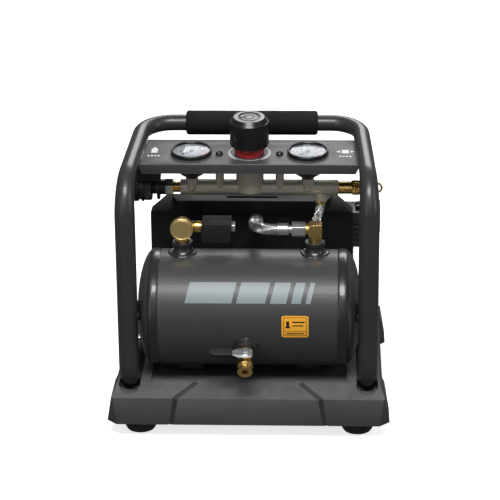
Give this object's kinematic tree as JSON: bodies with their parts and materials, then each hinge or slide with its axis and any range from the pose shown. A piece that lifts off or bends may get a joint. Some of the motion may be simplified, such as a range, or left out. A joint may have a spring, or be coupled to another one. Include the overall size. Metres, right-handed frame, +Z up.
{
  "type": "air compressor",
  "caption": "Portable air compressor on a sled base: front tank with drain valve, tube frame with grip, control panel with knob and gauges, and a covered pump unit behind.",
  "frame": {"origin": "middle of the footprint, on the floor", "axes": "+X to the right seen from the front, +Y to the back, +Z up; the front with the tank faces -Y"},
  "size_m": [0.357, 0.38, 0.3915],
  "materials": {
    "base_plastic": "moulded, sandy grain",
    "rubber": "matte",
    "steel": "zinc plated",
    "frame_paint": "satin charcoal powder coat",
    "foam": "closed-cell foam",
    "black_plastic": "matte",
    "tank_paint": "textured dark grey",
    "brass": "satin",
    "white_plastic": "matte",
    "nickel": "bright nickel",
    "braid": "silver braid",
    "cast_metal": "cast, grey-bronze",
    "red_plastic": "gloss",
    "knob_plastic": "gloss",
    "panel_paint": "fine grained grey",
    "dark_steel": "black oxide",
    "dial": "printed dial",
    "lens": "clear",
    "shroud_plastic": "moulded, grained",
    "aluminium": "die cast",
    "winding": "varnished copper",
    "head_paint": "dark cast fins"
  },
  "bodies": {
    "base": {"base_tray": "base_plastic", "rubber_feet": "rubber", "base_screws": "steel", "left_leg_tube": "frame_paint", "right_leg_tube": "frame_paint", "handle_tube": "frame_paint", "foam_grip": "foam", "leg_clamps": "steel", "tube_plugs": "black_plastic", "tank_shell": "tank_paint", "weld_bands": "tank_paint", "tank_bungs": "tank_paint", "tank_mounts": "tank_paint", "frame_bolts": "steel", "check_valve_body": "brass", "check_valve_cap": "brass", "solenoid_coil": "black_plastic", "pipe_nuts": "nickel", "delivery_tee": "brass", "hose_ferrules": "nickel", "braided_hose": "braid", "manifold_bar": "cast_metal", "regulator_body": "black_plastic", "lock_ring": "red_plastic", "control_panel": "panel_paint", "panel_screws": "dark_steel", "gauge_cases": "black_plastic", "gauge_bezels": "knob_plastic", "gauge_dials": "dial", "gauge_lenses": "lens", "feed_hose": "rubber", "feed_collar": "brass", "outlet_nipple": "brass", "coupler_body": "dark_steel", "pressure_switch": "black_plastic", "safety_valve_body": "brass", "drain_valve_body": "brass", "shroud_front": "shroud_plastic", "rear_cover": "shroud_plastic", "cable_gland": "rubber", "motor_housing": "aluminium", "motor_stator": "winding", "shaft_bearings": "steel", "crankcase": "aluminium", "wobble_piston": "aluminium", "cylinder_head": "head_paint", "intake_filter": "black_plastic"},
    "regulator_stem": {"regulator_stem": "steel"},
    "regulator_knob": {"regulator_knob": "knob_plastic"},
    "outlet_needle": {"outlet_needle": "dark_steel"},
    "tank_needle": {"tank_needle": "dark_steel"},
    "coupler_sleeve": {"coupler_sleeve": "dark_steel"},
    "safety_pull": {"safety_pull": "brass"},
    "check_poppet": {"check_poppet": "white_plastic"},
    "drain_lever": {"drain_ball": "steel", "drain_lever": "steel", "lever_sleeve": "black_plastic"},
    "pump_rotor": {"rotor_shaft": "steel", "cooling_fan": "black_plastic"},
    "power_rocker": {"power_rocker": "red_plastic"}
  },
  "joints": [
    {"name": "regulator_turn", "type": "hinge", "parent": "base", "child": "regulator_stem", "pos_m": [0, -0.04, 0.34], "axis": [0, -0.1219, 0.9925], "range_deg": [-270, 270]},
    {"name": "knob_pull", "type": "slide", "parent": "regulator_stem", "child": "regulator_knob", "axis": [0, -0.1219, 0.9925], "range_m": [0, 0.004]},
    {"name": "outlet_needle_turn", "type": "hinge", "parent": "base", "child": "outlet_needle", "pos_m": [-0.0735, -0.04, 0.34], "axis": [0, 0.1219, -0.9925], "range_deg": [0, 270]},
    {"name": "tank_needle_turn", "type": "hinge", "parent": "base", "child": "tank_needle", "pos_m": [0.0735, -0.04, 0.34], "axis": [0, 0.1219, -0.9925], "range_deg": [0, 270]},
    {"name": "coupler_slide", "type": "slide", "parent": "base", "child": "coupler_sleeve", "axis": [1, 0, 0], "range_m": [0, 0.006], "stiffness_N_per_m": 1500, "springref_m": -0.002},
    {"name": "safety_pull_slide", "type": "slide", "parent": "base", "child": "safety_pull", "axis": [1, 0, 0], "range_m": [0, 0.003], "stiffness_N_per_m": 3000, "springref_m": -0.002},
    {"name": "check_poppet_slide", "type": "slide", "parent": "base", "child": "check_poppet", "axis": [0, -1, 0], "range_m": [0, 0.003], "stiffness_N_per_m": 300, "springref_m": -0.001},
    {"name": "drain_turn", "type": "hinge", "parent": "base", "child": "drain_lever", "pos_m": [-0.002, -0.16837, 0.10949], "axis": [0, -0.3907, 0.9205], "range_deg": [0, 90]},
    {"name": "rotor_spin", "type": "hinge", "parent": "base", "child": "pump_rotor", "pos_m": [0, 0.09, 0.108], "axis": [1, 0, 0], "continuous": true},
    {"name": "rocker_press", "type": "hinge", "parent": "base", "child": "power_rocker", "pos_m": [0.08, 0.166, 0.15], "axis": [1, 0, 0], "range_deg": [0, 16]}
  ]
}
